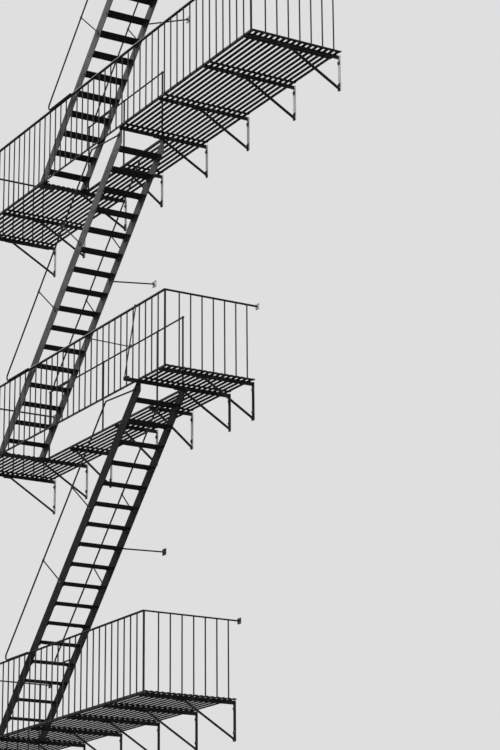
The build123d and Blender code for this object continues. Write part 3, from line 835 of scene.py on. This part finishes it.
for balcony in WHOLE_BRACKETS:
    slat_rivets(balcony)
    railing_rivets(balcony)
    rail_end_bolts(balcony)
    bracket_bolts(balcony)
for balcony in GUARD_POSTS:
    guard_fittings(balcony)
for stair in STAIRS:
    stair_bolts(stair)
    handrail_fittings(stair)
    stay_fittings(stair)
tie_fittings()
brace_fittings()

# Stage: a pale floor far below that fades into the plain backdrop, and soft light; in metres
BACKDROP = "#dfdfdf"
PAVING = "#cdcdcd"
FLOOR_LEVEL = -5.85
FADE_START, FADE_END = 9.0, 26.0
LAMPS_AIM_AT = (-1.5, -0.6, 5.0)


def seen_directly(tree):
    """1 for the camera and for what mirrors or lets through, 0 for light on the object."""
    ray = add(tree, "ShaderNodeLightPath")
    mirrored = add(tree, "ShaderNodeMath",
                   {0: ray.outputs["Is Glossy Ray"], 1: ray.outputs["Is Transmission Ray"]},
                   operation="MAXIMUM")
    return add(tree, "ShaderNodeMath", {0: ray.outputs["Is Camera Ray"], 1: mirrored.outputs[0]},
               operation="MAXIMUM").outputs[0]


floor_mesh = bpy.data.meshes.new("floor")
paved = bmesh.new()
bmesh.ops.create_grid(paved, x_segments=1, y_segments=1, size=400.0)
paved.to_mesh(floor_mesh)
paved.free()
floor = bpy.data.objects.new("floor", floor_mesh)
floor.location = (0.0, 0.0, FLOOR_LEVEL)
bpy.context.scene.collection.objects.link(floor)
floor_material = bpy.data.materials.new("floor")
floor_material.use_nodes = True
ground = floor_material.node_tree
ground.nodes.clear()
paving = add(ground, "ShaderNodeBsdfPrincipled",
             {"Base Color": linear(PAVING), "Roughness": 0.9, "Specular IOR Level": 0.1})
faded = add(ground, "ShaderNodeEmission", {"Color": linear(BACKDROP), "Strength": 1.0})
outward = add(ground, "ShaderNodeVectorMath",
              {0: add(ground, "ShaderNodeTexCoord").outputs["Object"]}, operation="LENGTH")
far_off = add(ground, "ShaderNodeMapRange",
              {"Value": outward.outputs["Value"], "From Min": FADE_START, "From Max": FADE_END})
fade = add(ground, "ShaderNodeMath",
           {0: far_off.outputs["Result"], 1: seen_directly(ground)}, operation="MULTIPLY")
surface = add(ground, "ShaderNodeMixShader",
              {0: fade.outputs[0], 1: paving.outputs[0], 2: faded.outputs[0]})
add(ground, "ShaderNodeOutputMaterial", {"Surface": surface.outputs[0]})
floor_mesh.materials.append(floor_material)

world = bpy.data.worlds.new("world")
bpy.context.scene.world = world
world.use_nodes = True
sky = world.node_tree
sky.nodes.clear()
light = add(sky, "ShaderNodeBackground", {"Color": (1.0, 1.0, 1.0, 1.0), "Strength": 0.42})
seen = add(sky, "ShaderNodeBackground", {"Color": linear(BACKDROP), "Strength": 1.0})
backdrop = add(sky, "ShaderNodeMixShader",
               {0: seen_directly(sky), 1: light.outputs[0], 2: seen.outputs[0]})
add(sky, "ShaderNodeOutputWorld", {"Surface": backdrop.outputs[0]})


def lamp(name, place, size, power):
    """A square area lamp, aimed at the middle of the fire escape."""
    data = bpy.data.lights.new(name, "AREA")
    data.shape = "SQUARE"
    data.size = size
    data.energy = power
    made = bpy.data.objects.new(name, data)
    made.location = place
    aim = Vector(LAMPS_AIM_AT) - Vector(place)
    made.rotation_euler = aim.to_track_quat("-Z", "Y").to_euler()
    bpy.context.scene.collection.objects.link(made)


lamp("sky", (-4.0, -14.0, 24.0), 14.0, 5200.0)
lamp("side", (16.0, -12.0, 9.0), 9.0, 1500.0)

bpy.context.scene.view_settings.view_transform = "Standard"
